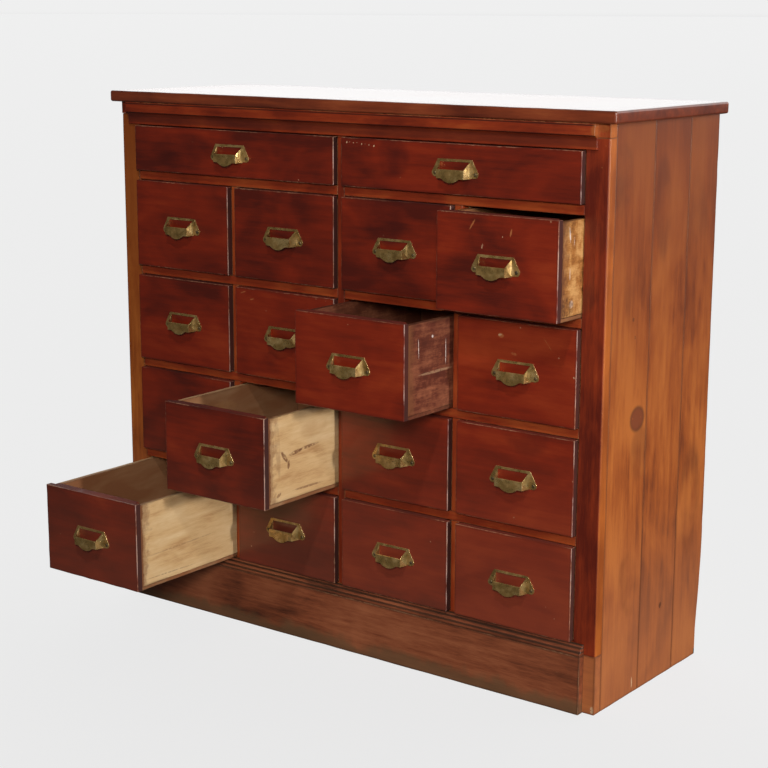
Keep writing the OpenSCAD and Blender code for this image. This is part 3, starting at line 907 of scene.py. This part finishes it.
def drawerFront(box, sides, bottom, look, tone):
    # the front's back edge is cut away where the sides and the bottom lap into it
    lo, hi = box
    lap = sides[0][0].y
    bm = cuboid(lo, Vector((hi.x, lap, hi.z)))
    left, right, foot = sides[0][1].x, sides[1][0].x, bottom[1].z
    for axis, at in ((0, left), (0, right), (2, foot)):
        backs = [f for f in bm.faces if f.normal.y > 0.9]
        around = {e for f in backs for e in f.edges} | {v for f in backs for v in f.verts}
        normal = alongAxis(axis)
        bmesh.ops.bisect_plane(bm, geom=backs + list(around), plane_co=normal * at, plane_no=normal)
    middle = []
    for face in bm.faces:
        centre = face.calc_center_median()
        if face.normal.y > 0.9 and left < centre.x < right and centre.z > foot:
            middle.append(face)
    pullOut(bm, middle, (0, hi.y - lap, 0))
    bmesh.ops.delete(bm, geom=middle, context="FACES_ONLY")
    bmesh.ops.dissolve_limit(bm, angle_limit=math.radians(1), verts=bm.verts[:], edges=bm.edges[:])
    bmesh.ops.recalc_face_normals(bm, faces=bm.faces[:])
    bevelled(bm, sharpEdges(bm, arrisTurn), look["ease"] * mm, 3)
    cutAcross(bm, lo, hi, look["step"] * mm)
    wearArrises(bm, lo, hi, look)
    labelWood(bm, "x", tone)
    return bm


def makeDrawer(node):
    front, *rest = sorted(boxesOf(node), key=lambda box: box[0].y)
    bottom = min(rest, key=lambda box: box[1].z)
    back = max(rest, key=lambda box: box[0].y)
    upright = [box for box in rest if box is not bottom and box is not back]
    left, right = sorted(upright, key=lambda box: box[0].x)
    name = node.replace("drawer_", "")
    stain = stains.get(name, 0.0)
    face = drawerFront(front, (left, right), bottom, frontLook, tones[name])
    makePiece("front_" + name, [face], "mahogany_front", node)
    pair = [board(left, "y", boxLook, stain=stain, inner="right", joint=1.0),
            board(right, "y", boxLook, stain=stain, inner="left", joint=1.0)]
    makePiece("sides_" + name, pair, "raw_pine", node)
    makePiece("back_" + name, [board(back, "x", boxLook, stain=stain, inner="all")], "raw_pine", node)
    makePiece("bottom_" + name, [board(bottom, "x", boxLook, stain=stain, inner="all")], "raw_pine", node)


drawerNodes = [node for node in frame["nodes"] if node.startswith(("drawer_row", "drawer_wide"))]
for node in sorted(drawerNodes):
    makeDrawer(node)
print("drawers made:", len(drawerNodes))

# sizes in mm, turns in degrees
pullLook = {"ease": 0.24, "screwEase": 0.15, "screwSize": 12.0, "flatTurn": 2, "arrisTurn": 28}


def cleanParts(node, look):
    # the node's solids as meshes of their own, with their flat faces made whole
    whole = mergedCad(node)
    flat = math.radians(look["flatTurn"])
    bmesh.ops.dissolve_limit(whole, angle_limit=flat, verts=whole.verts[:], edges=whole.edges[:])
    whole.faces.index_update()
    solids = groupsOf(whole.faces[:], lambda face: {near for edge in face.edges for near in edge.link_faces})
    parts = []
    for solid in solids:
        kept = {face.index for face in solid}
        part = whole.copy()
        bmesh.ops.delete(part, geom=[f for f in part.faces if f.index not in kept], context="FACES")
        parts.append(part)
    whole.free()
    return parts


def makePull(node, look):
    screws, plates = [], []
    for part in cleanParts(node, look):
        lo, hi = boxOf(part.verts)
        arrises = sharpEdges(part, look["arrisTurn"])
        if hi.x - lo.x < look["screwSize"] * mm:
            bevelled(part, arrises, look["screwEase"] * mm)
            screws.append(part)
        else:
            for face in bevelled(part, arrises, look["ease"] * mm):
                face.material_index = 1
            plates.append(part)
    name = node.replace("pull_", "")
    shell = makePiece("shell_" + name, plates, "aged_brass", node)
    shell.data.materials.append(brassRim)
    fixings = makePiece("screws_" + name, screws, "aged_brass", node)
    fixings.data.materials[0] = darkScrew


pullNodes = sorted(node for node in frame["nodes"] if node.startswith("pull_"))
for node in pullNodes:
    makePull(node, pullLook)
print("pulls made:", len(pullNodes))

floorLook = {"colour": (0.12, 0.12, 0.12), "glow": 0.79, "reach": 400.0}


def makeFloor(look):
    bm = bmesh.new()
    bmesh.ops.create_grid(bm, x_segments=8, y_segments=8, size=look["reach"])
    mesh = bpy.data.meshes.new("studioFloor")
    bm.to_mesh(mesh)
    bm.free()
    s = Shader("studioFloor")
    mesh.materials.append(s.finish({
        "Base Color": (*look["colour"], 1.0), "Roughness": 0.9, "Specular IOR Level": 0.1,
        "Emission Color": (1.0, 1.0, 1.0, 1.0), "Emission Strength": look["glow"],
    }))
    floor = bpy.data.objects.new("studioFloor", mesh)
    floor.visible_diffuse = False
    floor.visible_glossy = False
    bpy.context.scene.collection.objects.link(floor)


# brightness of the room, and of the white wall behind: its foot, its middle and the rest
worldLook = {"around": 0.05, "foot": 1.03, "middle": 1.55, "behind": 0.80}


def makeWorld(look):
    s = Shader("studio", bpy.data.worlds.new("studio"))
    x, y, z = s.parts(s.add("ShaderNodeTexCoord", output="Generated"))
    wall = s.fade(y, 0.1, 0.45) * s.fade(z, -0.02, 0.0)
    rise = s.fade(z, 0.015, 0.045)
    middle = rise * (1 - s.fade(z, 0.25, 0.6)) * (look["middle"] - look["behind"])
    foot = (1 - rise) * (look["foot"] - look["behind"])
    bright = wall * (middle + foot + look["behind"]) + look["around"]
    sky = s.add("ShaderNodeBackground", None, {"Strength": bright})
    s.add("ShaderNodeOutputWorld", None, {0: sky})
    bpy.context.scene.world = s.material


makeCamera(cameraLook)
makeLamps(lampLooks, (cadBox[0] + cadBox[1]) / 2)
makeFloor(floorLook)
makeWorld(worldLook)
bpy.context.scene.view_settings.view_transform = "Standard"
print("studio made")
